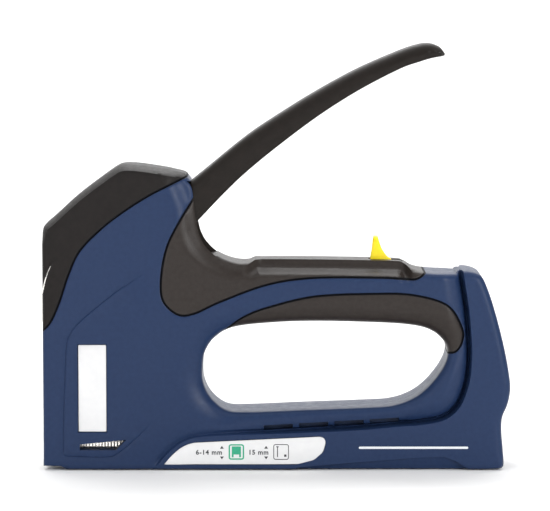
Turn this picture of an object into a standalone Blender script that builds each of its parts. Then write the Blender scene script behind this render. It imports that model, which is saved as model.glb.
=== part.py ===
"""Hand staple gun: two blue half shells, soft grips, a squeeze handle and the mechanism inside.

Millimetres in this file, turned into metres when a mesh is made. +X runs from the nose to the tail,
+Z is up, and the middle plane between the half shells is y = 0. The origin is under the middle.
"""
import math

import bmesh
import bpy
from mathutils import Matrix, Vector

MM = 0.001
GAP = 0.3             # clearance between neighbouring pieces
HALF_WIDTH = 14.5     # half of the body's width
CHAMFER = 2.5         # edge chamfer of the body
CAVITY = 11.0         # half width of the space for the mechanism
HANDLE_HALF = 10.6    # half width of the squeeze handle
LEVER_HALF = 3.5      # half width of the steel lever in the handle
BOSS_R = 5.2          # pivot boss of the lever

PIVOT = (-62.0, 108.0)        # handle pivot, x and z
SQUEEZE = math.radians(35.1)  # handle travel
ROCKER = (-62.0, 80.0)        # rocker pivot
ROCKER_TURN = math.radians(44.0)
REAR_ARM = 14.0               # rocker pivot to roller
FORK_ARM = 20.0               # rocker pivot to the lifting pins
ROLLER_R = 3.0
SPRING_X = -79.5              # axis of the main spring
SHELF_Z = 62.0                # top of the plunger block
SEAT_Z = 93.3                 # underside of the spring seat
BLADE_X = -88.4               # front face of the striker blade
FLOOR_Z = 44.0                # floor of the mechanism space
PLATE_Z = 87.95               # underside of the catch plate when the handle is closed
STRIP = (-85.9, -35.0)        # front and rear end of a full strip of staples
ROD_Z = 7.0                   # axis of the pusher's guide rod

SCREWS = [(-40.0, 52.0), (-57.0, 27.0), (-12.0, 17.7), (81.0, 21.0), (66.0, 71.8)]
SCREW_TIP = -9.0              # y of every screw's tip
HANDLE_RIVETS = [(-21.0, 114.5), (-8.0, 125.0)]
RIVET_LENGTH = 17.0           # blind, so nothing shows on the handle's sides

NOSE_X = -91.2
SLANT = [(NOSE_X, 95.2), (-86.9, 98.9), (-77.6, 107.4), (-68.3, 114.5), (-60.2, 120.0)]
CAP_TOP = [(-60.2, 120.0), (-52.0, 119.6), (-43.0, 118.2), (-34.2, 116.2)]
THROAT = [(-30.3, 97.5), (-28.9, 92.1), (-26.4, 87.8), (-21.9, 83.7), (-15.7, 81.4), (-10.0, 81.0)]
RIDGE = [(-7.2, 82.4), (20.0, 82.3), (46.0, 81.8), (50.5, 81.0), (54.3, 78.6), (60.0, 77.5)]
TAIL_TOP = [(71.0, 77.1), (72.9, 78.2), (76.0, 78.2), (79.6, 77.2), (81.6, 75.3)]
TAIL = [(81.6, 75.3), (84.6, 68.0), (87.6, 58.0), (90.2, 47.5), (92.0, 38.0), (92.7, 31.5),
        (91.6, 25.0), (89.4, 20.0), (89.2, 15.5), (90.0, 8.0)]
LOOP = [(-28.6, 39.0), (-27.6, 46.0), (-23.6, 51.8), (-16.0, 55.8), (0.0, 57.6), (16.0, 58.1),
        (36.0, 57.7), (52.0, 56.8), (61.0, 54.7), (66.5, 50.2), (67.9, 45.0), (65.6, 39.0),
        (60.0, 32.0), (54.0, 27.6), (46.0, 24.9), (34.0, 24.1), (10.0, 23.2), (-10.0, 22.4),
        (-19.0, 23.0), (-25.0, 27.4), (-28.0, 33.0)]
CAP_BORDER = [(-91.6, 54.6), (-88.2, 58.0), (-84.6, 65.8), (-80.9, 76.8), (-76.3, 86.4),
              (-67.2, 95.6), (-58.0, 102.5), (-48.9, 108.2), (-39.7, 112.8), (-34.8, 115.2)]
TOP_GRIP_BORDER = [(-31.4, 107.5), (-37.9, 97.0), (-42.6, 87.0), (-44.7, 75.0), (-43.8, 66.5),
                   (-38.0, 61.2), (-31.5, 61.7), (-21.4, 66.3), (-3.1, 73.0), (15.3, 75.7),
                   (42.7, 75.7), (53.7, 75.0), (58.0, 76.8)]
LOOP_GRIP_BORDER = [(-18.2, 55.9), (-12.2, 60.3), (-3.1, 64.0), (15.2, 68.4), (38.1, 69.5),
                    (54.0, 69.0), (67.5, 64.9), (73.4, 56.0), (73.6, 50.5), (71.1, 46.6)]
HANDLE_TOP = [(-37.5, 109.4), (-28.0, 117.1), (-12.0, 130.1), (0.0, 138.3), (16.0, 148.2),
              (32.0, 156.9), (48.0, 163.9), (56.0, 166.6), (60.5, 167.2), (64.4, 165.9), (66.9, 163.2)]
HANDLE_UNDER = [(56.3, 160.0), (48.4, 157.1), (32.5, 148.8), (16.5, 138.6),
                (0.5, 126.6), (-11.6, 116.6), (-20.0, 108.6), (-28.0, 100.2), (-36.5, 91.3)]
LABEL = [(-43.8, 2.0), (-39.7, 6.3), (-35.1, 9.5), (-30.5, 10.6), (17.0, 12.9), (19.2, 12.2),
         (19.8, 10.5), (18.9, 7.2), (15.2, 4.0), (7.9, 2.1)]
WINDOW = [(-76.8, 7.7), (-76.8, 9.9), (-58.5, 11.8), (-62.6, 7.7)]

BLUE = (0.032, 0.054, 0.112)
BLACK = (0.022, 0.021, 0.021)
GRIP = (0.06, 0.05, 0.045)
STEEL = (0.55, 0.54, 0.52)
DARK_STEEL = (0.2, 0.2, 0.2)
YELLOW = (0.93, 0.75, 0.01)
WHITE = (0.92, 0.92, 0.9)
RUBBER = (0.03, 0.03, 0.03)


# ---------------------------------------------------------------- outlines

def curve(points, steps=2):
    """Points along a smooth Catmull-Rom curve through all the given points."""
    ends = [points[0]] + list(points) + [points[-1]]
    result = []
    for i in range(len(points) - 1):
        a, b, c, d = (Vector(p) for p in ends[i:i + 4])
        for k in range(steps):
            t = k / steps
            p = 0.5 * (2 * b + (c - a) * t + (2 * a - 5 * b + 4 * c - d) * t * t
                       + (3 * b - 3 * c + d - a) * t ** 3)
            result.append((p.x, p.y))
    return result + [tuple(points[-1])]


def closed_curve(points, steps=2):
    """The same round a closed outline."""
    wrapped = [points[-1]] + list(points) + points[:2]
    return curve(wrapped, steps)[steps:-1 - steps]


def circle(centre, radius, sides=16):
    return [(centre[0] + radius * math.cos(2 * math.pi * k / sides),
             centre[1] + radius * math.sin(2 * math.pi * k / sides)) for k in range(sides)]


def turned(point, angle, centre=PIVOT):
    """A point of the side view, turned about a pivot; a positive angle squeezes the handle."""
    x, z = point[0] - centre[0], point[1] - centre[1]
    return (centre[0] + x * math.cos(angle) + z * math.sin(angle),
            centre[1] - x * math.sin(angle) + z * math.cos(angle))


def shifted(outline, distance):
    """The outline grown (or shrunk, if negative) by a distance."""
    points = [Vector(p) for p in outline]
    count = len(points)
    area = sum(points[i].x * points[(i + 1) % count].y - points[(i + 1) % count].x * points[i].y
               for i in range(count))
    sign = 1.0 if area > 0 else -1.0
    result = []
    for i in range(count):
        before = (points[i] - points[i - 1]).normalized()
        after = (points[(i + 1) % count] - points[i]).normalized()
        normal = Vector((before.y + after.y, -before.x - after.x)) * sign
        normal /= max(0.6, normal.length_squared / 2)
        result.append(tuple(points[i] + normal * distance))
    return result


def body_outline():
    """Silhouette of the whole body, without the handle."""
    blue_tip = curve([(-34.6, 114.9), (-33.0, 113.6), (-31.6, 110.6), (-31.3, 107.5)])
    return ([(NOSE_X, 1.2)] + curve(SLANT, 1) + CAP_TOP[1:] + blue_tip + [(-30.7, 105.5)]
            + curve(THROAT) + RIDGE + TAIL_TOP[:-1] + curve(TAIL)
            + [(90.3, 0.0), (-82.0, 0.0), (-85.0, 1.2)])


def cam_path(steps=8):
    """Centres of the rocker's roller, seen from the handle, through a whole squeeze."""
    path = []
    for k in range(steps + 1):
        part = k / steps
        swing = ROCKER_TURN * (0.5 - part)
        centre = (ROCKER[0] + REAR_ARM * math.cos(swing), ROCKER[1] + REAR_ARM * math.sin(swing))
        path.append(turned(centre, -SQUEEZE * part))
    return path


def cam_edge():
    """The lever's lower edge: the roller's path, moved up by its radius and the clearance."""
    path = [Vector(p) for p in cam_path()]
    edge = []
    for i, point in enumerate(path):
        along = (path[min(i + 1, len(path) - 1)] - path[max(i - 1, 0)]).normalized()
        edge.append(tuple(point + Vector((-along.y, along.x)) * (ROLLER_R + GAP + 0.05)))
    return edge


# ---------------------------------------------------------------- solids

def make(bm, name="work"):
    bmesh.ops.recalc_face_normals(bm, faces=bm.faces[:])
    bmesh.ops.scale(bm, vec=(MM, MM, MM), verts=bm.verts[:])
    mesh = bpy.data.meshes.new(name)
    bm.to_mesh(mesh)
    bm.free()
    obj = bpy.data.objects.new(name, mesh)
    bpy.context.scene.collection.objects.link(obj)
    return obj


def loft(rings):
    """A closed solid through rings of points, with a flat face on the first and the last ring."""
    bm = bmesh.new()
    loops = [[bm.verts.new(p) for p in ring] for ring in rings]
    count = len(rings[0])
    for low, high in zip(loops, loops[1:]):
        for i in range(count):
            bm.faces.new((low[i], low[(i + 1) % count], high[(i + 1) % count], high[i]))
    bm.faces.new(loops[0])
    bm.faces.new(loops[-1])
    return make(bm)


def prism(outline, y0, y1):
    return loft([[(x, y, z) for x, z in outline] for y in (y0, y1)])


def chamfered_prism(outline, half, chamfer):
    inner = shifted(outline, -chamfer)
    rings = [(inner, -half), (outline, chamfer - half), (outline, half - chamfer), (inner, half)]
    return loft([[(x, y, z) for x, z in ring] for ring, y in rings])


def box(x0, x1, y0, y1, z0, z1):
    return prism([(x0, z0), (x1, z0), (x1, z1), (x0, z1)], y0, y1)


def rod(centre, radius, length, axis="Y", sides=16):
    """A round bar with its middle at centre."""
    bm = bmesh.new()
    turn = {"X": Matrix.Rotation(math.pi / 2, 4, "Y"), "Y": Matrix.Rotation(math.pi / 2, 4, "X"),
            "Z": Matrix.Identity(4)}[axis]
    bmesh.ops.create_cone(bm, cap_ends=True, segments=sides, radius1=radius, radius2=radius,
                          depth=length, matrix=Matrix.Translation(centre) @ turn)
    return make(bm)


def coil(start, radius, wire, length, turns, axis="Z", per_turn=12, sides=6):
    """A closed wire wound round an axis that starts at the given point."""
    steps = int(turns * per_turn)
    frame = {"X": Matrix(((0, 0, 1), (1, 0, 0), (0, 1, 0))), "Y": Matrix(((0, 1, 0), (0, 0, 1), (1, 0, 0))),
             "Z": Matrix.Identity(3)}[axis]
    rings = []
    for k in range(steps + 1):
        a = 2 * math.pi * turns * k / steps
        height = wire + (length - 2 * wire) * k / steps
        ring = []
        for s in range(sides):
            b = 2 * math.pi * s / sides
            reach = radius + wire * math.cos(b)
            local = Vector((reach * math.cos(a), reach * math.sin(a), height + wire * math.sin(b)))
            ring.append(Vector(start) + frame @ local)
        rings.append(ring)
    return loft(rings)


def apply_boolean(target, other, operation):
    modifier = target.modifiers.new("boolean", "BOOLEAN")
    modifier.operation = operation
    modifier.solver = "EXACT"
    modifier.object = other
    graph = bpy.context.evaluated_depsgraph_get()
    mesh = bpy.data.meshes.new_from_object(target.evaluated_get(graph))
    target.modifiers.clear()
    target.data = mesh
    bpy.data.objects.remove(other)


def cut(target, *others):
    for other in others:
        apply_boolean(target, other, "DIFFERENCE")
    return target


def add(target, *others):
    for other in others:
        apply_boolean(target, other, "UNION")
    return target


def keep(target, other):
    apply_boolean(target, other, "INTERSECT")
    return target


MATERIALS = {}


def material(name, colour, roughness, metallic):
    if name not in MATERIALS:
        mat = bpy.data.materials.new(name)
        mat.use_nodes = True
        shader = mat.node_tree.nodes["Principled BSDF"]
        shader.inputs["Base Color"].default_value = (*colour, 1.0)
        shader.inputs["Roughness"].default_value = roughness
        shader.inputs["Metallic"].default_value = metallic
        mat.diffuse_color = (*colour, 1.0)
        MATERIALS[name] = mat
    return MATERIALS[name]


def finish(obj, name, slot, colour, roughness=0.4, metallic=0.0, origin=None):
    """Name a piece, give it its material and, if it moves, put its origin on its joint's axis."""
    obj.name = name
    obj.data.name = name
    obj.data.materials.clear()
    obj.data.materials.append(material(slot, colour, roughness, metallic))
    obj.data.shade_smooth()
    obj.data.set_sharp_from_angle(angle=math.radians(32))
    if origin:
        place = Vector(origin) * MM
        obj.data.transform(Matrix.Translation(-place))
        obj.location = place
    return obj


AXIS = (PIVOT[0], 0.0, PIVOT[1])
ROCKER_AXIS = (ROCKER[0], 0.0, ROCKER[1])


# ---------------------------------------------------------------- body

def whole_body():
    body = chamfered_prism(body_outline(), HALF_WIDTH, CHAMFER)
    hole = closed_curve(LOOP)
    flare = shifted(hole, 1.5)
    y = HALF_WIDTH
    rings = [(flare, -y - 1.0), (flare, -y), (hole, 1.5 - y), (hole, y - 1.5), (flare, y), (flare, y + 1.0)]
    return cut(body, loft([[(x, at, z) for x, z in ring] for ring, at in rings]))


def cap_region():
    return curve(CAP_BORDER, 1) + [(-30.0, 118.5), (-30.0, 130.0), (-96.0, 130.0), (-96.0, 54.6)]


def top_grip_region():
    return curve(TOP_GRIP_BORDER, 1) + [(59.4, 79.0), (60.0, 90.0), (-10.0, 98.0), (-26.0, 107.5)]


def loop_grip_region():
    return curve(LOOP_GRIP_BORDER, 1) + [(62.0, 46.6), (58.0, 50.0), (0.0, 50.0), (-16.0, 51.0)]


def mechanism_space():
    """The space in the head: rocker and plunger below, handle sweep above, open at the back."""
    swept = [turned(p, SQUEEZE) for p in HANDLE_UNDER[2:]]
    floor = [(x, z - 1.0) for x, z in swept if x < 0.0]
    roof = [(-88.4, 72.4), (-88.4, 93.8), (-84.5, 97.4), (-76.0, 104.6), (-66.0, 112.0), (-59.6, 116.8),
            (-52.0, 116.6), (-44.0, 115.3), (-37.0, 113.6), (-8.0, 112.0), (-8.0, 90.0)]
    lower = [(-52.2, 79.0), (-42.6, 79.0), (-42.6, 70.0), (-46.0, 66.0), (-52.0, 60.0), (-52.0, FLOOR_Z)]
    outline = [(-89.3, FLOOR_Z), (-89.3, 72.4)] + roof + floor[:-1] + lower[1:]
    return prism(outline, -CAVITY, CAVITY)


def nose_slot():
    """Slot behind the nose plate for the blade and the staples."""
    return box(-89.5, -86.3, -6.9, 6.9, -1.0, FLOOR_Z + 1.0)


def nose_seat():
    """The nose plate's own seat in the front edge."""
    return box(-95.0, -89.3, -8.9, 8.9, -1.0, 72.6)


def magazine_tunnel():
    return box(-89.0, 95.0, -6.95, 6.95, -1.0, 14.5)


def pin_holes(centre):
    return rod((centre[0], 0.0, centre[1]), 2.3, 2 * 13.1)


def screw_hole(x, z):
    hole = rod((x, (SCREW_TIP - 0.5 + 16.0) / 2, z), 1.8, 16.5 - SCREW_TIP, sides=12)
    return add(hole, rod((x, 14.0, z), 3.3, 4.4, sides=16))


def weight_pockets(side):
    """Hollows of the casting in the grip's blue bar, the tail and the lower bar."""
    shapes = [[(78.6, 30.0), (86.6, 30.0), (86.0, 40.0), (82.0, 62.0), (78.6, 66.0)],
              [(-48.0, 19.0), (-34.0, 19.0), (-34.0, 46.0), (-48.0, 46.0)],
              [(8.0, 17.6), (50.0, 18.6), (60.0, 21.6), (8.0, 21.0)]]
    return [prism(shape, -side, side * 10.5) for shape in shapes]


def half_shell(side, name):
    """One blue half: the body on its side of the middle, less the black pieces and every hollow."""
    half = whole_body()
    far = 40.0
    cut(half, box(-120.0, 120.0, *sorted((side * GAP / 2, -side * far)), -20.0, 140.0))
    for region in (cap_region(), top_grip_region(), loop_grip_region()):
        cut(half, prism(shifted(region, GAP), -20.0, 20.0))
    cut(half, mechanism_space(), magazine_tunnel(), nose_slot(), nose_seat(), pin_holes(ROCKER))
    cut(half, *weight_pockets(side))
    for x, z in SCREWS:
        cut(half, screw_hole(x, z))
    face = side * HALF_WIDTH
    cut(half, prism(WINDOW, face * 1.2, side * 6.0))
    cut(half, prism(shifted(LABEL, 0.3), face * 1.2, side * (HALF_WIDTH - 0.8)))
    cut(half, box(-77.5, -66.0, *sorted((face * 1.2, side * (HALF_WIDTH - 0.8))), 14.7, 49.6))
    for k in range(4):
        x = -4.4 + 13.9 * k
        z = 15.3 + 0.75 * k
        vent = [(x, z), (x + 11.2, z + 0.6), (x + 11.2, z + 2.5), (x, z + 2.0)]
        cut(half, prism(vent, face * 1.2, side * (HALF_WIDTH - 2.5)))
    return finish(half, name, "body", BLUE, 0.42, 0.0)


def front_cap():
    cap = keep(whole_body(), prism(cap_region(), -20.0, 20.0))
    cut(cap, mechanism_space(), nose_seat(), pin_holes(PIVOT))
    return finish(cap, "front_cap", "cap", BLACK, 0.5)


def top_grip():
    grip = keep(whole_body(), prism(top_grip_region(), -20.0, 20.0))
    cut(grip, mechanism_space())
    cut(grip, box(31.0, 52.8, -6.2, 6.2, 70.0, 79.6), box(37.0, 50.6, -1.9, 1.9, 70.0, 90.0))
    return finish(grip, "top_grip", "grip", GRIP, 0.6)


def loop_grip():
    grip = keep(whole_body(), prism(loop_grip_region(), -20.0, 20.0))
    return finish(grip, "loop_grip", "grip", GRIP, 0.6)


def nose_plate():
    plate = box(-90.9, -89.7, -8.5, 8.5, 1.4, 72.0)
    bump = prism([(-90.6, 56.5), (-92.7, 59.0), (-92.7, 69.0), (-90.6, 71.0)], -6.0, 6.0)
    return finish(add(plate, bump), "nose_plate", "steel", STEEL, 0.3, 0.9)


def body_screws():
    for number, (x, z) in enumerate(SCREWS, 1):
        screw = rod((x, (12.1 + SCREW_TIP) / 2, z), 1.45, 12.1 - SCREW_TIP, sides=12)
        add(screw, rod((x, 13.1, z), 2.9, 2.2, sides=16))
        finish(screw, "body_screw_%d" % number, "dark_steel", DARK_STEEL, 0.35, 0.9)


def labels(side, word):
    low, high = sorted((side * (HALF_WIDTH - 0.5), side * (HALF_WIDTH - 0.1)))
    finish(prism(LABEL, low, high), "size_label_" + word, "label", WHITE, 0.35)
    finish(box(-77.2, -66.3, low, high, 15.0, 49.3), "badge_" + word, "label", WHITE, 0.35)


# ---------------------------------------------------------------- handle

def handle():
    """Long channel, open underneath: narrow at the root round the lever, wide further out."""
    under = curve(HANDLE_UNDER, 1)
    grip = chamfered_prism(curve(HANDLE_TOP) + under, HANDLE_HALF, 1.0)
    roof = [(-4.0, 131.8), (16.0, 145.2), (32.0, 154.5), (48.0, 161.5), (58.0, 163.8)]
    below = [(61.5, 158.0), (40.0, 140.0), (12.0, 120.0), (-4.0, 110.0)]
    cut(grip, prism(roof + below, -8.3, 8.3))
    slot = [(-45.0, 98.5), (-28.0, 113.4), (-12.0, 126.6), (-3.0, 133.4), (-3.0, 100.0), (-45.0, 70.0)]
    cut(grip, prism(slot, -LEVER_HALF - GAP, LEVER_HALF + GAP))
    for x, z in HANDLE_RIVETS:
        cut(grip, rod((x, 0.0, z), 1.8, RIVET_LENGTH + 2 * GAP, sides=12))
    return finish(grip, "handle", "handle", GRIP, 0.5, origin=AXIS)


def handle_lever():
    """Steel lever: pivot boss, cam edge that pushes the roller, and the tongue in the handle."""
    cam = cam_edge()
    boss = circle(PIVOT, BOSS_R, 12)
    front = [boss[k] for k in (7, 6, 5, 4, 3, 2)]
    back = [(-46.0, 103.2), (-43.0, 99.6), (-28.0, 112.8), (-12.0, 126.0), (-5.0, 131.4), (-0.6, 130.0),
            (-1.0, 127.4), (-12.0, 118.2), (-28.0, 102.2), (-31.2, 97.0)]
    lever = prism(front + back + cam[::-1] + [(-53.0, 96.0)], -LEVER_HALF, LEVER_HALF)
    cut(lever, rod(AXIS, 2.3, 20.0))
    for x, z in HANDLE_RIVETS:
        cut(lever, rod((x, 0.0, z), 1.8, 20.0, sides=12))
    return finish(lever, "handle_lever", "steel", STEEL, 0.3, 0.9, origin=AXIS)


def handle_rivets():
    for word, (x, z) in zip(("front", "rear"), HANDLE_RIVETS):
        pin = rod((x, 0.0, z), 1.5, RIVET_LENGTH, sides=12)
        finish(pin, "handle_rivet_" + word, "dark_steel", DARK_STEEL, 0.35, 0.9, origin=AXIS)


def lock_plate():
    """Catch plate across the handle's channel, with the keyhole that the lock's head goes through."""
    def plate(x0, x1, half, low, high):
        shape = [(x0, low), (x1, low), (x1, high), (x0, high)]
        return prism([turned(p, -SQUEEZE) for p in shape], -half, half)
    body = plate(36.0, 50.0, 8.0, PLATE_Z, PLATE_Z + 1.2)
    cut(body, plate(37.9, 42.2, 4.5, PLATE_Z - 1.0, PLATE_Z + 3.0))
    cut(body, plate(41.8, 47.0, 1.9, PLATE_Z - 1.0, PLATE_Z + 3.0))
    return finish(body, "lock_plate", "steel", STEEL, 0.3, 0.9, origin=AXIS)


def handle_lock():
    """Yellow catch: a thin fin with a T head, on a slider that is hidden in the ridge."""
    fin = prism([(37.4, 78.0), (37.6, 82.4), (38.6, 89.0), (38.7, 91.0), (40.9, 91.0), (41.4, 89.0),
                 (42.4, 86.0), (45.4, 82.2), (46.2, 78.0)], -1.5, 1.5)
    add(fin, box(38.72, 40.88, -4.0, 4.0, PLATE_Z + 1.6, 90.95))
    add(fin, box(34.0, 48.8, -3.6, 3.6, 76.3, 79.2))
    return finish(fin, "handle_lock", "lock", YELLOW, 0.35, origin=(41.0, 0.0, 79.0))


def lock_detent_spring():
    leaf = prism([(32.0, 76.4), (52.2, 76.4), (52.2, 79.0), (32.0, 79.0)], 4.3, 4.8)
    return finish(leaf, "lock_detent_spring", "steel", STEEL, 0.3, 0.9)


# ---------------------------------------------------------------- mechanism

def pins():
    finish(rod(AXIS, 2.0, 25.6), "handle_pivot_pin", "dark_steel", DARK_STEEL, 0.35, 0.9)
    finish(rod(ROCKER_AXIS, 2.0, 25.6), "rocker_pin", "dark_steel", DARK_STEEL, 0.35, 0.9)


def handle_return_spring():
    spring = coil((PIVOT[0], 4.0, PIVOT[1]), 3.5, 0.6, 6.4, 4.0, axis="Y", per_turn=10, sides=4)
    return finish(spring, "handle_return_spring", "spring", STEEL, 0.3, 0.9)


def arm(start, angle, length, width, y0, y1):
    """A flat arm from a pivot, its angle measured up from +X."""
    along = Vector((math.cos(angle), math.sin(angle)))
    across = Vector((-along.y, along.x)) * width / 2
    start = Vector(start)
    corners = [start - across, start + along * length - across, start + along * length + across,
               start + across]
    return prism([tuple(c) for c in corners], y0, y1)


def lift_rocker():
    """Rocker on two hubs joined by a web: the rear arm has the roller, the fork lifts the plunger."""
    half_turn = ROCKER_TURN / 2
    rocker = rod((ROCKER[0], 7.35, ROCKER[1]), 4.4, 6.1)
    add(rocker, rod((ROCKER[0], -7.35, ROCKER[1]), 4.4, 6.1))
    web = [(-66.4, 72.6), (-60.0, 71.2), (-58.4, 74.2), (-64.6, 75.9)]
    add(rocker, prism(web, -10.3, 10.3))
    for side in (1, -1):
        inner, outer = sorted((side * 4.35, side * 6.4))
        fork_in, fork_out = sorted((side * 8.7, side * 10.35))
        add(rocker, prism([(-66.2, 80.0), (-65.4, 73.5), (-60.2, 73.0), (-58.0, 80.0)], inner, outer))
        add(rocker, arm(ROCKER, half_turn, REAR_ARM + 2.4, 5.0, inner, outer))
        add(rocker, arm(ROCKER, math.pi + half_turn, FORK_ARM + 2.0, 4.6, fork_in, fork_out))
        tip_x = ROCKER[0] - FORK_ARM * math.cos(half_turn)
        tip_z = ROCKER[1] - FORK_ARM * math.sin(half_turn)
        add(rocker, rod((tip_x, side * 7.9, tip_z), 1.5, 2.8, sides=12))
    cut(rocker, rod(ROCKER_AXIS, 2.3, 30.0))
    cut(rocker, rod(roller_centre(), 1.6, 30.0, sides=12))
    return finish(rocker, "lift_rocker", "dark_steel", DARK_STEEL, 0.35, 0.9, origin=ROCKER_AXIS)


def roller_centre():
    return (ROCKER[0] + REAR_ARM * math.cos(ROCKER_TURN / 2), 0.0,
            ROCKER[1] + REAR_ARM * math.sin(ROCKER_TURN / 2))


def rocker_roller():
    roller = cut(rod(roller_centre(), ROLLER_R, 7.8, sides=20), rod(roller_centre(), 1.6, 20.0, sides=12))
    finish(roller, "rocker_roller", "steel", STEEL, 0.3, 0.9, origin=roller_centre())
    finish(rod(roller_centre(), 1.3, 12.6, sides=12), "roller_pin", "dark_steel", DARK_STEEL, 0.35, 0.9,
           origin=ROCKER_AXIS)


def plunger():
    """Plunger block with the spring's shelf, and a side plate each side with the lifting window."""
    block = box(-87.0, -73.0, -8.3, 8.3, 50.0, SHELF_Z)
    for side in (1, -1):
        inner, outer = sorted((side * 6.6, side * 8.3))
        plate = box(-86.2, -76.0, inner, outer, 55.0, 77.2)
        cut(plate, box(-84.4, -77.4, *sorted((side * 5.0, side * 9.0)), 68.4, 74.5))
        add(block, plate)
    cut(block, rod((-84.0, 0.0, 56.0), 1.7, 12.0, axis="X", sides=12))
    return finish(block, "plunger", "steel", STEEL, 0.3, 0.9)


def striker_blade():
    blade = box(BLADE_X, BLADE_X + 1.1, -5.2, 5.2, 2.6, 61.0)
    cut(blade, rod((-88.0, 0.0, 56.0), 1.7, 6.0, axis="X", sides=12))
    finish(blade, "striker_blade", "steel", STEEL, 0.3, 0.9)
    rivet = rod((-84.2, 0.0, 56.0), 1.4, 8.4, axis="X", sides=12)
    finish(rivet, "blade_rivet", "dark_steel", DARK_STEEL, 0.35, 0.9)


def spring_and_seat():
    spring = coil((SPRING_X, 0.0, SHELF_Z + GAP), 5.1, 1.0, SEAT_Z - SHELF_Z - 2 * GAP, 6.5)
    finish(spring, "main_spring", "spring", STEEL, 0.3, 0.9)
    seat = box(-85.6, -73.0, -10.6, 10.6, SEAT_Z, 95.6)
    add(seat, rod((SPRING_X, 0.0, 88.5), 3.6, 10.6, axis="Z"))
    finish(seat, "spring_seat", "dark_steel", DARK_STEEL, 0.35, 0.9)
    finish(box(-86.0, -73.0, -8.0, 8.0, FLOOR_Z + GAP, 49.6), "impact_bumper", "rubber", RUBBER, 0.8)


# ---------------------------------------------------------------- magazine

def magazine_channel():
    """Fixed steel liner of the tunnel, open below, with the window that shows the staples."""
    liner = box(-86.2, 72.0, -6.6, 6.6, 1.0, 14.1)
    cut(liner, box(-90.0, 80.0, -5.8, 5.8, -1.0, 13.3))
    cut(liner, prism(shifted(WINDOW, 0.3), -10.0, 10.0))
    return finish(liner, "magazine_channel", "steel", STEEL, 0.3, 0.9)


def magazine_rail():
    rail = box(-85.9, 74.0, -4.4, 4.4, 1.2, 12.2)
    cut(rail, box(-85.1, 80.0, -3.6, 3.6, 2.0, 20.0))
    finish(rail, "magazine_rail", "steel", STEEL, 0.3, 0.9)
    block = prism([(74.3, 1.0), (89.6, 1.0), (89.9, 4.0), (88.9, 12.4), (74.3, 12.4)], -6.4, 6.4)
    cut(block, rod((74.0, 0.0, ROD_Z), 1.3, 8.0, axis="X", sides=12))
    cut(block, box(84.6, 87.0, -4.5, 4.5, 0.0, 3.0))
    finish(block, "magazine_end", "cap", BLACK, 0.5)
    leaf = prism([(75.0, 12.7), (84.0, 12.7), (84.0, 13.2), (81.0, 14.2), (79.0, 14.2), (77.0, 13.2),
                  (75.0, 13.2)], -2.0, 2.0)
    finish(leaf, "magazine_detent", "spring", STEEL, 0.3, 0.9)


def staple_strip():
    strip = box(*STRIP, -5.3, 5.3, 1.6, 13.0)
    cut(strip, box(STRIP[0] - 2.0, STRIP[1] + 2.0, -4.8, 4.8, 0.0, 12.5))
    return finish(strip, "staple_strip", "staples", STEEL, 0.35, 0.8)


def pusher():
    saddle = box(STRIP[1] + 0.4, -24.0, -5.3, 5.3, 2.4, 13.0)
    cut(saddle, box(-40.0, -20.0, -4.75, 4.75, 0.0, 12.5))
    add(saddle, box(STRIP[1] + 0.4, -27.0, -3.2, 3.2, 3.0, 12.8))
    cut(saddle, rod((-30.0, 0.0, ROD_Z), 1.35, 30.0, axis="X", sides=12))
    return finish(saddle, "pusher", "dark_steel", DARK_STEEL, 0.4, 0.8)


def pusher_rod_and_spring():
    finish(rod((-3.7, 0.0, ROD_Z), 1.0, 162.0, axis="X", sides=12), "pusher_rod", "steel", STEEL, 0.3, 0.9)
    spring = coil((-26.6, 0.0, ROD_Z), 1.95, 0.35, 100.5, 14.0, axis="X", per_turn=8, sides=4)
    finish(spring, "pusher_spring", "spring", STEEL, 0.3, 0.9)


def build():
    half_shell(-1, "body_left")
    half_shell(1, "body_right")
    front_cap()
    top_grip()
    loop_grip()
    nose_plate()
    body_screws()
    labels(-1, "left")
    labels(1, "right")
    handle()
    handle_lever()
    handle_rivets()
    lock_plate()
    handle_lock()
    lock_detent_spring()
    pins()
    handle_return_spring()
    lift_rocker()
    rocker_roller()
    plunger()
    striker_blade()
    spring_and_seat()
    magazine_channel()
    magazine_rail()
    staple_strip()
    pusher()
    pusher_rod_and_spring()


for old in list(bpy.data.objects):
    bpy.data.objects.remove(old)
build()
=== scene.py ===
"""Visual model of the hand staple gun: smooth shells, grips, label, staples and springs on the CAD frame.

Shapes are in millimetres (x nose to tail, y across, z up) and turned into metres when a mesh is made.
"""

import math

import bmesh
import bpy
import numpy as np
from mathutils import Matrix, Vector, geometry, kdtree


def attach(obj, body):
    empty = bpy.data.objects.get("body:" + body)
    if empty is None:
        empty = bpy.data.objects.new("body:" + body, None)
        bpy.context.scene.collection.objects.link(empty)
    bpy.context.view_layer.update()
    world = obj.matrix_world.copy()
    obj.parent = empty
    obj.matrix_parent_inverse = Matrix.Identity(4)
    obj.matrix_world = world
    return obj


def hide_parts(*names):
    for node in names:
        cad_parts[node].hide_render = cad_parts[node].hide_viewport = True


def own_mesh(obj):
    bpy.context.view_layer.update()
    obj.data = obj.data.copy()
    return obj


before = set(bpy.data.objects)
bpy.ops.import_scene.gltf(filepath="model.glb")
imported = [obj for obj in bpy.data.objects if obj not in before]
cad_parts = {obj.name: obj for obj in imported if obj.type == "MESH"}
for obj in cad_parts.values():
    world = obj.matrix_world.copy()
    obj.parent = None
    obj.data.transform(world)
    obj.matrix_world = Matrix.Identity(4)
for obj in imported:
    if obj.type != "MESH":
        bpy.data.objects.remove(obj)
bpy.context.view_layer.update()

MM = 0.001
HALF = 14.5          # half width of the body
CAVITY = 11.0        # half width of the space for the mechanism
HANDLE_HALF = 10.6   # half width of the squeeze handle
HANDLE_WALL = 8.3    # half width of the hollow under the handle
LAP = 0.35           # how far the dark pieces reach over a parting line's groove
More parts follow.
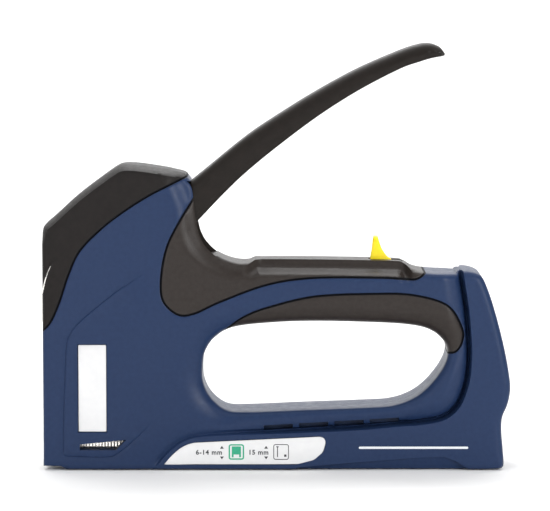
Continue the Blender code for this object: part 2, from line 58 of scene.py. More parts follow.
SEAM = 0.38          # where the blue starts, from the middle of the groove
SEAM_SHADE_WIDTH = 0.5            # width of the painted seam shade, a darker black on the dark pieces beside each parting line
PIVOT = (-62.0, 108.0)          # the handle's hinge
SQUEEZE = math.radians(35.1)    # the handle's full travel
THROUGH = 20.0       # past both sides of the tool
SCREWS = [(-40.0, 52.0), (-57.0, 27.0), (-12.0, 17.7), (81.0, 21.0), (66.0, 71.8)]

CAP_BORDER = [(-92.6, 53.4), (-88.2, 58.0), (-84.6, 65.8), (-80.9, 76.8), (-76.3, 86.4),
              (-67.2, 95.6), (-58.0, 102.5), (-48.9, 108.2), (-39.7, 112.8), (-33.4, 115.8)]
TOP_GRIP_BORDER = [(-30.6, 108.8), (-31.4, 107.5), (-37.9, 97.0), (-42.6, 87.0), (-44.7, 75.0),
                   (-43.8, 66.5), (-38.0, 61.2), (-31.5, 61.7), (-21.4, 66.3), (-3.1, 73.0),
                   (15.3, 75.7), (42.7, 75.7), (53.7, 75.0), (58.0, 76.8), (59.4, 79.0)]
LOOP_GRIP_BORDER = [(-19.4, 54.4), (-18.2, 55.9), (-12.2, 60.3), (-3.1, 64.0), (15.2, 68.4),
                    (38.1, 69.5), (54.0, 69.0), (67.5, 64.9), (73.4, 56.0), (73.6, 50.5),
                    (71.1, 46.6), (67.0, 45.6)]
LOOP = [(-28.6, 39.0), (-27.6, 46.0), (-23.6, 51.8), (-16.0, 55.8), (0.0, 57.6), (16.0, 58.1),
        (36.0, 57.7), (52.0, 56.8), (61.0, 54.7), (66.5, 50.2), (67.9, 45.0), (65.6, 39.0),
        (60.0, 32.0), (54.0, 27.6), (46.0, 24.9), (34.0, 24.1), (10.0, 23.2), (-10.0, 22.4),
        (-19.0, 23.0), (-25.0, 27.4), (-28.0, 33.0)]
PANEL = [(-50.0, 78.5), (-58.0, 73.0), (-62.6, 70.0), (-75.4, 59.5), (-80.2, 53.9), (-81.8, 48.4),
         (-82.8, 28.3), (-83.3, 8.5), (-83.0, 5.9), (-81.0, 5.2), (-67.0, 4.9), (-62.4, 6.0),
         (-55.3, 11.8), (-47.0, 20.0)]
TAIL_STEP = [(72.6, 84.0), (73.4, 79.5), (74.3, 73.1), (75.7, 64.4), (76.6, 55.4), (77.1, 46.3),
             (76.6, 37.2), (75.2, 31.0), (72.9, 25.4), (69.3, 21.4), (64.7, 19.1), (56.5, 17.7),
             (49.1, 17.2), (33.6, 15.8), (15.2, 14.9), (-3.1, 14.2), (-17.6, 13.7), (-30.0, 12.8),
             (-36.5, 10.9), (-42.5, 6.2), (-48.5, -1.0)]
CREASE = [(-44.0, 116.5), (-41.5, 112.0), (-38.4, 104.5), (-36.7, 97.5), (-35.5, 92.0), (-33.3, 87.0),
          (-30.0, 83.2), (-26.0, 80.2), (-20.0, 77.4), (-14.0, 76.6), (-4.0, 77.4), (8.0, 78.3),
          (24.0, 78.6), (40.0, 78.2), (50.0, 77.6), (57.0, 77.0)]
CREASE_PROFILE = ((-1.7, -0.9, 0.9, 1.5, 4.3, 9.0), (0.0, 0.1, 0.64, 0.92, 2.6, 3.2))
NOSE_CREASE = [(-91.4, 69.6), (-90.6, 72.2), (-89.7, 75.6), (-88.4, 79.2), (-86.6, 82.6)]
SCALLOP = [(8.0, -2.0), (9.0, 0.8), (32.0, 2.8), (61.0, 4.9), (66.5, 5.0), (71.1, 3.3), (76.5, 0.0),
           (77.0, -2.0)]
SCALLOP_TOP = 5.0
SCALLOP_LEAN = 0.4   # how much deeper the scallop gets per millimetre downwards
LABEL_SEAT = [(-43.8, 2.0), (-39.7, 6.3), (-35.1, 9.5), (-30.5, 10.6), (17.0, 12.9), (19.2, 12.2),
              (19.8, 10.5), (18.9, 7.2), (15.2, 4.0), (7.9, 2.1)]
LABEL_EDGE = [(-43.8, 2.0), (-41.9, 4.1), (-39.7, 6.3), (-37.4, 8.2), (-35.1, 9.5), (-32.8, 10.3),
              (-30.5, 10.6), (-10.0, 11.6), (10.0, 12.55), (17.0, 12.9), (18.6, 12.7), (19.6, 11.8),
              (19.8, 10.3), (18.9, 7.2), (17.4, 5.3), (15.2, 3.8), (12.0, 2.6), (7.9, 2.1), (-10.0, 2.0),
              (-30.0, 2.0)]
BADGE = (-77.2, -66.3, 15.0, 49.3)   # x from and to, z from and to
SEAT_GAP = 0.3       # between a label and the edge of its seat
SEAT_DEPTH = 0.8
VENT_DEPTH = 8.0
JOINT_GAP = 0.07     # from the middle plane to each half shell
WINDOW = [(-76.8, 7.7), (-76.8, 9.9), (-58.5, 11.8), (-62.6, 7.7)]
WINDOW_FLOOR = 6.0   # how near to the middle the window reaches
HANDLE_TOP = [(-37.5, 109.4), (-28.0, 117.1), (-12.0, 130.1), (0.0, 138.3), (16.0, 148.2),
              (32.0, 156.9), (48.0, 163.9), (56.0, 166.6), (60.5, 167.1), (64.2, 165.9), (66.3, 163.4)]
HANDLE_UNDER = [(65.4, 162.2), (61.0, 161.4), (56.3, 160.0), (48.4, 157.1), (32.5, 148.8), (16.5, 138.6),
                (0.5, 126.6), (-11.6, 116.6), (-20.0, 108.6), (-28.0, 100.2), (-36.5, 91.3)]

BORDER_STEP = 0.8    # point spacing on outlines
LINE_STEP = 0.5      # point spacing on seams and on lines of the surface
NOSE_STEP = 0.4      # point spacing on the cap's short crease
AXIS_FRAMES = {"X": Matrix(((0, 0, 1), (1, 0, 0), (0, 1, 0))),
               "Y": Matrix(((0, 1, 0), (0, 0, 1), (1, 0, 0))),
               "Z": Matrix.Identity(3)}


# ---------------------------------------------------------------- lines in the side view

def spline(points, spacing=BORDER_STEP, closed=False):
    """Points at an even spacing along a smooth curve through the given points."""
    base = [np.array(p, float) for p in points]
    if closed:
        base = [base[-1]] + base + base[:2]
    else:
        base = [2 * base[0] - base[1]] + base + [2 * base[-1] - base[-2]]
    dense = []
    for a, b, c, d in zip(base, base[1:], base[2:], base[3:]):
        for t in np.linspace(0.0, 1.0, 24, endpoint=False):
            dense.append(0.5 * (2 * b + (c - a) * t + (2 * a - 5 * b + 4 * c - d) * t * t
                                + (3 * b - 3 * c + d - a) * t ** 3))
    dense.append(base[-2])
    return evenly(np.array(dense), spacing)


def evenly(line, spacing):
    """The same line with its points evenly spaced; both ends stay."""
    steps = np.hypot(*np.diff(line, axis=0).T)
    along = np.concatenate([[0.0], np.cumsum(steps)])
    count = max(2, int(round(along[-1] / spacing)) + 1)
    at = np.linspace(0.0, along[-1], count)
    return np.column_stack([np.interp(at, along, line[:, k]) for k in (0, 1)])


def turned(point, angle, centre=PIVOT):
    """A point of the side view turned about a centre, the way the handle goes when it is squeezed."""
    x, z = point[0] - centre[0], point[1] - centre[1]
    return (centre[0] + x * math.cos(angle) + z * math.sin(angle),
            centre[1] - x * math.sin(angle) + z * math.cos(angle))


def smoothed(values, reach):
    """Each row averaged with its neighbours on a closed line."""
    total = np.zeros_like(values)
    for shift in range(-reach, reach + 1):
        total += np.roll(values, shift, axis=0)
    return total / (2 * reach + 1)


def tree_of(points):
    tree = kdtree.KDTree(len(points))
    for i, p in enumerate(points):
        tree.insert((p[0], p[1], 0.0), i)
    tree.balance()
    return tree


class Line:
    """A line of the side view that can say how far points are from it."""

    def __init__(self, points, closed=False):
        self.points = np.asarray(points, float)
        self.closed = closed
        self.tree = tree_of(self.points)

    def distance(self, spots):
        """Distance, which side (positive on the left of the line) and nearest point of each spot."""
        spots = np.asarray(spots, float)
        count = len(self.points)
        index = np.array([self.tree.find((p[0], p[1], 0.0))[1] for p in spots])
        best = np.full(len(spots), 1e9)
        side = np.ones(len(spots))
        for step in (-1, 0):
            start, end = index + step, index + step + 1
            if self.closed:
                start, end = start % count, end % count
            else:
                start, end = np.clip(start, 0, count - 2), np.clip(end, 1, count - 1)
            a, b = self.points[start], self.points[end]
            ab, ap = b - a, spots - a
            share = np.clip((ab * ap).sum(1) / np.maximum((ab * ab).sum(1), 1e-12), 0.0, 1.0)
            gap = np.hypot(*(ap - ab * share[:, None]).T)
            cross = ab[:, 0] * ap[:, 1] - ab[:, 1] * ap[:, 0]
            closer = gap < best - 1e-9
            best = np.where(closer, gap, best)
            side = np.where(closer, np.where(cross >= 0, 1.0, -1.0), side)
        return best, side, index

    def normals(self):
        """Unit vectors to the left of the line, at each point."""
        if self.closed:
            along = np.roll(self.points, -1, axis=0) - np.roll(self.points, 1, axis=0)
        else:
            along = np.gradient(self.points, axis=0)
        along /= np.maximum(np.hypot(*along.T), 1e-9)[:, None]
        return np.column_stack([-along[:, 1], along[:, 0]])

    def offset(self, distance):
        return self.points + self.normals() * distance


def inside(spots, outline):
    """True for each spot inside a closed outline."""
    spots = np.asarray(spots, float)
    result = np.zeros(len(spots), bool)
    x, z = spots.T
    for (ax, az), (bx, bz) in zip(outline, np.roll(outline, -1, axis=0)):
        if az == bz:
            continue
        hit = ((az > z) != (bz > z)) & (x < (bx - ax) * (z - az) / (bz - az) + ax)
        result ^= hit
    return result


def smoothstep(low, high, value):
    t = np.clip((value - low) / (high - low), 0.0, 1.0)
    return t * t * (3 - 2 * t)


def edge_drop(distance, width, depth, power=2.0):
    """How far the surface falls towards an edge with a rounded profile of a width and a depth."""
    t = np.clip(1.0 - distance / width, 0.0, 1.0)
    return depth * (1.0 - np.maximum(1.0 - t ** power, 0.0) ** (1.0 / power))


def seam_drop(distance):
    """The groove along a parting line."""
    return edge_drop(distance, 0.85, 1.0)


# ---------------------------------------------------------------- meshes

def to_object(verts, faces, name="shape"):
    """A mesh object from millimetre points."""
    mesh = bpy.data.meshes.new(name)
    mesh.from_pydata([tuple(v) for v in np.asarray(verts, float) * MM], [], faces)
    mesh.validate()
    obj = bpy.data.objects.new(name, mesh)
    bpy.context.scene.collection.objects.link(obj)
    return obj


def face_out(obj):
    """Turn every closed shell's faces outwards."""
    bm = bmesh.new()
    bm.from_mesh(obj.data)
    bmesh.ops.recalc_face_normals(bm, faces=bm.faces[:])
    bm.to_mesh(obj.data)
    bm.free()
    return obj


def slab(outline, y0, y1):
    """A straight prism of an outline, from y0 to y1."""
    ring = [tuple(p) for p in outline]
    count = len(ring)
    verts = [(x, y, z) for y in (y0, y1) for x, z in ring]
    sides = [(i, (i + 1) % count, (i + 1) % count + count, i + count) for i in range(count)]
    faces = sides + [tuple(range(count)), tuple(range(2 * count - 1, count - 1, -1))]
    return face_out(to_object(verts, faces))


def block(x0, x1, y0, y1, z0, z1):
    return slab([(x0, z0), (x1, z0), (x1, z1), (x0, z1)], y0, y1)


def ringed(verts, sides):
    """A closed solid from rings of points, one ring after another."""
    rows = len(verts) // sides
    faces = []
    for row in range(rows - 1):
        low, high = row * sides, (row + 1) * sides
        for k in range(sides):
            n = (k + 1) % sides
            faces.append((low + k, low + n, high + n, high + k))
    faces.append(tuple(range(sides)))
    faces.append(tuple(range((rows - 1) * sides, rows * sides)))
    return face_out(to_object(verts, faces))


def revolve(profile, centre, axis, sides):
    """A closed solid of revolution; the profile is (radius, height) from end to end of the axis."""
    verts = []
    for radius, height in profile:
        for k in range(sides):
            a = 2 * math.pi * k / sides
            local = AXIS_FRAMES[axis] @ Vector((radius * math.cos(a), radius * math.sin(a), height))
            verts.append(tuple(Vector(centre) + local))
    return ringed(verts, sides)


def tube(path, radius, sides):
    """A round closed wire along a path of points."""
    path = [Vector(p) for p in path]
    verts = []
    up = Vector((0.02, 0.9, 0.43)).normalized()
    for i, p in enumerate(path):
        along = (path[min(i + 1, len(path) - 1)] - path[max(i - 1, 0)]).normalized()
        across = along.cross(up).normalized()
        up = across.cross(along).normalized()
        shrink = 0.72 if i in (0, len(path) - 1) else 1.0
        for k in range(sides):
            a = 2 * math.pi * k / sides
            verts.append(tuple(p + (across * math.cos(a) + up * math.sin(a)) * radius * shrink))
    return ringed(verts, sides)


def applied(obj):
    """The object's mesh as its modifiers make it; the modifiers are taken off."""
    graph = bpy.context.evaluated_depsgraph_get()
    mesh = bpy.data.meshes.new_from_object(obj.evaluated_get(graph))
    obj.modifiers.clear()
    return mesh


def boolean(target, cutter, operation="DIFFERENCE"):
    """Cut the target with the cutter, or keep what they share; the cutter is used up."""
    modifier = target.modifiers.new("cut", "BOOLEAN")
    modifier.operation = operation
    modifier.solver = "MANIFOLD"
    modifier.object = cutter
    target.data = applied(target)
    if not target.data.polygons:
        raise RuntimeError("nothing is left after %s" % operation)
    bpy.data.objects.remove(cutter)
    return target


def bevelled(obj, width, segments=3, angle=35.0):
    """Round the sharp edges of a finished mesh; the width is in millimetres."""
    modifier = obj.modifiers.new("bevel", "BEVEL")
    modifier.width = width * MM
    modifier.segments = segments
    modifier.limit_method = "ANGLE"
    modifier.angle_limit = math.radians(angle)
    obj.data = applied(obj)
    return obj


def joined(objs):
    """One object from several, with its origin at the world's."""
    bm = bmesh.new()
    for obj in objs:
        bm.from_mesh(obj.data)
        bpy.data.objects.remove(obj)
    mesh = bpy.data.meshes.new("joined")
    bm.to_mesh(mesh)
    bm.free()
    result = bpy.data.objects.new("joined", mesh)
    bpy.context.scene.collection.objects.link(result)
    return result


def piece(obj, name, body, look, *nodes, sharp=32.0):
    """Name, shade and colour a finished mesh, parent it to its CAD body and hide the CAD nodes it stands
    for.
    """
    obj.name = name
    obj.data.name = name
    obj.data.materials.clear()
    obj.data.materials.append(MATERIAL[look])
    obj.data.shade_smooth()
    if sharp:
        obj.data.set_sharp_from_angle(angle=math.radians(sharp))
    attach(obj, body)
    if nodes:
        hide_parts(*nodes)


# ---------------------------------------------------------------- a solid from its side view

RINGS = (0.1, 0.3, 0.6, 1.0, 1.5, 2.1, 2.8)   # distances of the rows of points beside a border
SLIVER = 0.0005      # doubled area below which a triangle is left out


def spaced(taken, new, gap):
    """The new points that keep a gap from those already taken."""
    if len(new) == 0:
        return new
    tree = tree_of(np.vstack(taken))
    free = [tree.find((p[0], p[1], 0.0))[2] >= gap for p in new]
    return new[np.array(free)]


def side_mesh(outline, holes, lines, grid):
    """Points, triangles and border loops of a side view, finer along its borders and lines.

    lines is a list of (Line, offsets): rows of points beside each line.
    """
    borders = [Line(outline, True)] + [Line(h, True) for h in holes]
    taken = [np.vstack([border.points for border in borders])]

    def usable(spots, margin):
        ok = inside(spots, outline)
        for hole in holes:
            ok &= ~inside(spots, hole)
        for border in borders:
            ok &= border.distance(spots)[0] >= margin
        return spots[ok]

    for border in borders:
        for gap in RINGS:
            for sign in (1, -1):
                taken.append(spaced(taken, usable(border.offset(sign * gap), gap * 0.98), 0.09))
    for line, offsets in lines:
        for offset in offsets:
            row = usable(line.offset(offset), 0.12)
            if len(row):
                clear = line.distance(row)[0] >= abs(offset) * 0.97
                taken.append(spaced(taken, row[clear], 0.11))
    low, high = outline.min(0), outline.max(0)
    spots = []
    for j, z in enumerate(np.arange(low[1], high[1], grid * 0.87)):
        shift = grid / 2 if j % 2 else 0.0
        spots.extend((x + shift, z) for x in np.arange(low[0], high[0], grid))
    taken.append(spaced(taken, usable(np.array(spots), 0.4), grid * 0.62))
    points = np.vstack(taken)

    rings, start = [], 0
    for border in borders:
        rings.append(list(range(start, start + len(border.points))))
        start += len(border.points)
    edges = [pair for ring in rings for pair in zip(ring, ring[1:] + ring[:1])]
    made = geometry.delaunay_2d_cdt([Vector(p) for p in points], edges, [], 0, 1e-6)
    verts, triangles, origin = np.array([tuple(v) for v in made[0]]), made[2], made[3]
    triangles = np.array([t for t in triangles if len(t) == 3])
    corners = verts[triangles]
    centres = corners.mean(1)
    first, second = corners[:, 1] - corners[:, 0], corners[:, 2] - corners[:, 0]
    doubled_area = np.abs(first[:, 0] * second[:, 1] - first[:, 1] * second[:, 0])
    ok = inside(centres, outline) & (doubled_area > SLIVER)
    for hole in holes:
        ok &= ~inside(centres, hole)
    triangles = triangles[ok]
    where = {}
    for new, olds in enumerate(origin):
        for old in olds:
            where[old] = new
    return verts, triangles, [[where[i] for i in ring] for ring in rings]


def two_sided(verts, triangles, loops, height, rows=4):
    """A closed solid with a half width at each point of a side view, and straight walls at its borders."""
    count = len(verts)
    points = [(x, side * y, z) for side in (-1, 1) for (x, z), y in zip(verts, height)]
    faces = [tuple(t) for t in triangles] + [tuple(t[::-1] + count) for t in triangles]
    for loop in loops:
        rings = [loop]
        for row in range(1, rows):
            rings.append(range(len(points), len(points) + len(loop)))
            for i in loop:
                x, z = verts[i]
                points.append((x, -height[i] + 2 * height[i] * row / rows, z))
        rings.append([i + count for i in loop])
        for low, high in zip(rings, rings[1:]):
            for i in range(len(loop)):
                n = (i + 1) % len(loop)
                faces.append((low[i], low[n], high[n], high[i]))
    return face_out(to_object(points, faces))


# ---------------------------------------------------------------- the body's surface

def run(points, width, depth, power=2.0, straight=False):
    """Part of an outline with the size of its rounded edge."""
    line = evenly(np.array(points, float), BORDER_STEP) if straight else spline(points)
    return line, np.tile([width, depth, power], (len(line), 1))


def chain(runs):
    """Runs joined end to end in a ring; the edge sizes change smoothly from one to the next."""
    points = np.vstack([line[:-1] for line, _ in runs])
    sizes = np.vstack([size[:-1] for _, size in runs])
    return points, smoothed(sizes, 5)


def body_line():
    """Outline of the body, from the nose's foot over the head and the ridge to the tail and back below."""
    nose = [(-91.2, 1.2), (-91.2, 93.4)]
    head = [(-91.2, 93.4), (-90.5, 95.9), (-86.9, 99.1), (-77.6, 107.5), (-68.3, 114.6), (-62.4, 118.7),
            (-60.0, 119.7), (-57.0, 119.9), (-52.0, 119.5), (-43.0, 118.1), (-36.6, 116.7), (-34.9, 115.9)]
    throat = [(-34.9, 115.9), (-34.0, 114.6), (-32.7, 112.9), (-31.6, 110.4), (-31.2, 107.0),
              (-30.8, 102.0), (-30.2, 97.3)]
    bend = [(-30.2, 97.3), (-28.9, 92.1), (-26.4, 87.8), (-21.9, 83.7), (-15.7, 81.4), (-10.6, 81.1),
            (-8.4, 82.0)]
    ridge = [(-8.4, 82.0), (-5.0, 82.4), (20.0, 82.3), (46.0, 81.8), (50.5, 81.0), (54.3, 78.6),
             (60.0, 77.5), (71.0, 77.1)]
    tail = [(71.0, 77.1), (71.6, 77.9), (72.9, 78.3), (76.0, 78.2), (79.2, 77.3), (81.6, 75.3),
            (84.6, 68.0), (87.6, 58.0), (90.2, 47.5), (92.0, 38.0), (92.6, 31.5), (91.6, 25.6),
            (89.6, 20.6), (89.2, 15.5), (89.8, 8.0), (90.2, 2.6), (89.7, 0.5), (88.0, 0.0)]
    sole = [(88.0, 0.0), (-82.0, 0.0)]
    foot = [(-82.0, 0.0), (-84.6, 1.2), (-91.2, 1.2)]
    return chain([run(nose, 1.8, 1.6, straight=True), run(head, 2.2, 7.6, 1.25), run(throat, 2.4, 2.2),
                  run(bend, 2.6, 2.2), run(ridge, 2.4, 2.6), run(tail, 3.0, 2.6),
                  run(sole, 1.3, 1.0, straight=True), run(foot, 1.3, 1.0, straight=True)])


def loop_line():
    """Outline of the finger loop; its edge is widest at the grip and at the low front corner."""
    points = spline(LOOP, closed=True)[:-1]
    sizes = np.full((len(points), 3), 2.0)
    x, z = points.T
    low_left = smoothstep(-8.0, -26.0, x) * smoothstep(51.0, 39.0, z)
    grip = smoothstep(44.0, 49.0, z)
    bottom = (1 - grip) * (1 - low_left)
    sizes[:, 0] = 8.5 * grip + 12.5 * low_left * (1 - grip) + 6.0 * bottom
    sizes[:, 1] = 6.4 * grip + 5.6 * low_left * (1 - grip) + 3.6 * bottom
    return points, smoothed(sizes, 6)


OUTLINE, OUTLINE_EDGE = body_line()
LOOP_LINE, LOOP_EDGE = loop_line()
OUTLINE_AT = Line(OUTLINE, True)
LOOP_AT = Line(LOOP_LINE, True)
CAP_SEAM, TOP_GRIP_SEAM, LOOP_GRIP_SEAM = SEAMS = [
    Line(spline(points, LINE_STEP)) for points in (CAP_BORDER, TOP_GRIP_BORDER, LOOP_GRIP_BORDER)]
PANEL_AT = Line(spline(PANEL, LINE_STEP))
STEP_AT = Line(spline(TAIL_STEP, LINE_STEP))
CREASE_AT = Line(spline(CREASE, LINE_STEP))
NOSE_CREASE_AT = Line(spline(NOSE_CREASE, NOSE_STEP))


def rounded_profile(places, falls, radius=0.9):
    """The same profile with its corners rounded over a radius."""
    at = np.linspace(places[0] - 2.0, places[-1], 300)
    exact = [np.interp(at + shift, places, falls) for shift in np.linspace(-radius, radius, 9)]
    return at, np.mean(exact, axis=0)


CREASE_FALL = rounded_profile(*CREASE_PROFILE)


def end_fade(line, index, start, end):
    """0 at both ends of a line, and 1 from so many millimetres inside them."""
    left = len(line.points) - 1 - index
    return smoothstep(0.0, start, index * LINE_STEP) * smoothstep(0.0, end, left * LINE_STEP)


def rounded_edge(line, edge_sizes, spots):
    """Fall towards a rounded border, and the distance to it."""
    gap, _, index = line.distance(spots)
    width, depth, power = edge_sizes[index].T
    return edge_drop(gap, width, depth, power), gap


def ridge_fall(spots, edge):
    """The shoulder along both sides of the ridge under the handle."""
    x, z = spots.T
    on_ridge = smoothstep(-13.0, -5.0, x) * (1.0 - smoothstep(50.0, 55.0, x)) * (z > 70.0)
    return 5.4 * smoothstep(6.3, 2.6, edge) * on_ridge


def tail_step_fall(spots):
    """The recess inside the tail's step, with a groove along the step; both are deepest at the tail."""
    gap, side, index = STEP_AT.distance(spots)
    across = gap * -side
    inner = smoothstep(-0.3, 0.3, across)
    strength = 0.5 + 2.2 * smoothstep(-30.0, 30.0, STEP_AT.points[index, 0])
    ends = end_fade(STEP_AT, index, 6.0, 6.0)
    fade = 1.0 - smoothstep(0.3, 8.5, gap)
    groove = smoothstep(-0.1, 0.6, across) * (1.0 - smoothstep(0.6, 2.3, across))
    return strength * (inner * fade + 1.5 * groove) * np.maximum(ends, 0.35)


def grip_crease_fall(spots):
    """The top grip falls away outside its crease."""
    gap, side, index = CREASE_AT.distance(spots)
    return np.interp(gap * side, *CREASE_FALL) * end_fade(CREASE_AT, index, 5.0, 8.0)


def nose_crease_rise(spots):
    """The short raised crease low on the cap's front, fading out above."""
    gap, _, index = NOSE_CREASE_AT.distance(spots)
    left = len(NOSE_CREASE_AT.points) - index
    return 0.5 * np.exp(-(gap / 0.45) ** 2) * smoothstep(0.0, 3.0, left * NOSE_STEP)


def panel_rise_and_line(spots):
    """The raised front panel, and the fine line around it."""
    gap, side, index = PANEL_AT.distance(spots)
    ends = end_fade(PANEL_AT, index, 12.0, 12.0)
    raised = smoothstep(-0.28, 0.28, gap * side) * (1.0 - smoothstep(3.0, 22.0, gap))
    return 0.5 * raised * ends, 0.2 * np.exp(-(gap / 0.35) ** 2) * ends


def body_height(spots):
    """Half width of the body at each spot of the side view."""
    outer_fall, edge = rounded_edge(OUTLINE_AT, OUTLINE_EDGE, spots)
    loop_fall, _ = rounded_edge(LOOP_AT, LOOP_EDGE, spots)
    drop = np.hypot(outer_fall, loop_fall)
    drop = np.maximum(drop, ridge_fall(spots, edge))
    for seam in SEAMS:
        drop = np.maximum(drop, seam_drop(seam.distance(spots)[0]) + drop * 0.9)
    drop = drop + tail_step_fall(spots)
    drop = drop + grip_crease_fall(spots)
    drop = drop - nose_crease_rise(spots)
    rise, line = panel_rise_and_line(spots)
    return HALF - (drop - rise + line)


def both_sides(*offsets):
    return [side * offset for offset in offsets for side in (1, -1)]


def body_solid():
    """The whole body before it is divided, with rows of points beside every line of its surface."""
    rows = [(seam, [0.0] + both_sides(0.14, 0.3, 0.5, 0.8)) for seam in SEAMS]
    rows.append((STEP_AT, [0.0] + both_sides(0.12, 0.27, 0.5, 0.9, 1.4, 1.9)))
    rows.append((PANEL_AT, [0.0] + both_sides(0.16, 0.32, 0.6)))
    ridge = Line(np.array([p for p in OUTLINE if -14.0 < p[0] < 56.0 and p[1] > 75.0]))
    shoulder = (3.3, 3.8, 4.4, 5.0, 5.6, 6.2)
    rows.append((ridge, [-offset for offset in shoulder] + list(shoulder)))
    rows.append((CREASE_AT, [0.0] + both_sides(0.35, 0.8, 1.4, 2.0, 2.6)))
    rows.append((NOSE_CREASE_AT, [0.0] + both_sides(0.2, 0.4, 0.7)))
    verts, triangles, loops = side_mesh(OUTLINE, [LOOP_LINE], rows, 1.15)
    return two_sided(verts, triangles, loops, body_height(verts))


def cap_region(grow):
    border = CAP_SEAM.offset(-grow)
    return np.vstack([border, [(-30.0, 118.5), (-30.0, 130.0), (-100.0, 130.0), (-100.0, 50.0)]])


def top_grip_region(grow):
    border = TOP_GRIP_SEAM.offset(-grow)
    return np.vstack([border, [(60.2, 80.0), (60.0, 90.0), (-10.0, 98.0), (-24.0, 108.0)]])


def loop_grip_region(grow):
    border = LOOP_GRIP_SEAM.offset(grow)
    return np.vstack([border, [(60.0, 45.0), (50.0, 44.0), (0.0, 44.0), (-14.0, 48.0)]])


def mechanism_space():
    """The space inside the head, open at the throat down to the squeezed handle's underside."""
    swept = [turned(p, SQUEEZE) for p in HANDLE_UNDER[2:]]
    floor = [(x, z - 1.0) for x, z in swept if x < 0.0]
    roof = [(-88.4, 73.8), (-88.4, 93.8), (-84.5, 97.4), (-76.0, 104.6), (-66.0, 112.0),
            (-59.6, 116.8), (-52.0, 116.6), (-44.0, 115.3), (-37.0, 113.6), (-8.0, 112.0), (-8.0, 90.0)]
    lower = [(-42.6, 79.0), (-42.6, 70.0), (-46.0, 66.0), (-52.0, 60.0), (-52.0, 44.0)]
    outline = [(-89.3, 44.0), (-89.3, 73.8)] + roof + floor[:-1] + lower
    return slab(outline, -CAVITY, CAVITY)


def hollow(target):
    """Cut the mechanism's space, the blade's channel and the nose plate's seat."""
    boolean(target, mechanism_space())
    boolean(target, block(-89.5, -86.3, -6.9, 6.9, -1.0, 45.0))
    boolean(target, block(-96.0, -89.3, -8.9, 8.9, -2.0, 72.6))
    return target


def screw_well(x, z):
    return revolve([(3.3, 11.9), (3.3, 17.0)], (x, 0.0, z), "Y", 40)


def copy_of(obj):
    new = obj.copy()
    new.data = obj.data.copy()
    bpy.context.scene.collection.objects.link(new)
    return new


def half_shell(source, side, name):
    """One blue half with its window, vents, label seats and, on the far side, its screw wells."""
    half = copy_of(source)
    boolean(half, block(-120.0, 120.0, *sorted((-side * 2 * THROUGH, side * JOINT_GAP)), -20.0, 140.0))
    for region in (cap_region, top_grip_region, loop_grip_region):
        boolean(half, slab(region(SEAM), -THROUGH, THROUGH))
    hollow(half)
    boolean(half, block(-89.0, 95.0, -6.95, 6.95, -1.0, 14.5))
    if side > 0:
        for x, z in SCREWS:
            boolean(half, screw_well(x, z))
    face = side * HALF
    outer = face * 1.2

    def recess(outline, depth):
        return slab(outline, *sorted((outer, face - side * depth)))

    boolean(half, slab(WINDOW, *sorted((outer, side * WINDOW_FLOOR))))
    for outline in (grown(LABEL_SEAT, SEAT_GAP), badge_outline(SEAT_GAP)):
        boolean(half, recess(outline, SEAT_DEPTH))
    scallop = recess(SCALLOP, 0.5)
    for vert in scallop.data.vertices:
        if abs(vert.co.y) < HALF * MM:
            vert.co.y -= side * SCALLOP_LEAN * (SCALLOP_TOP * MM - vert.co.z)
    boolean(half, scallop)
    for k in range(4):
        x, z = -4.4 + 13.9 * k, 15.0 + 0.78 * k
        vent = [(x, z), (x + 11.5, z + 0.6), (x + 11.5, z + 2.9), (x, z + 2.3)]
        boolean(half, recess(vent, VENT_DEPTH))
    return half


def grown(outline, distance):
    """An outline with its points moved outwards."""
    line = Line(np.array(outline, float), True)
    area = sum(a[0] * b[1] - b[0] * a[1] for a, b in zip(outline, outline[1:] + outline[:1]))
    return line.offset(-distance if area > 0 else distance)


def badge_outline(grow):
    x0, x1, z0, z1 = BADGE
    return [(x0 - grow, z0 - grow), (x1 + grow, z0 - grow), (x1 + grow, z1 + grow), (x0 - grow, z1 + grow)]


# ---------------------------------------------------------------- materials

def colour(r, g, b):
    """Linear colour of an 8-bit sRGB one."""
    return tuple((c / 255 / 12.92 if c <= 10 else ((c / 255 + 0.055) / 1.055) ** 2.4) for c in (r, g, b))


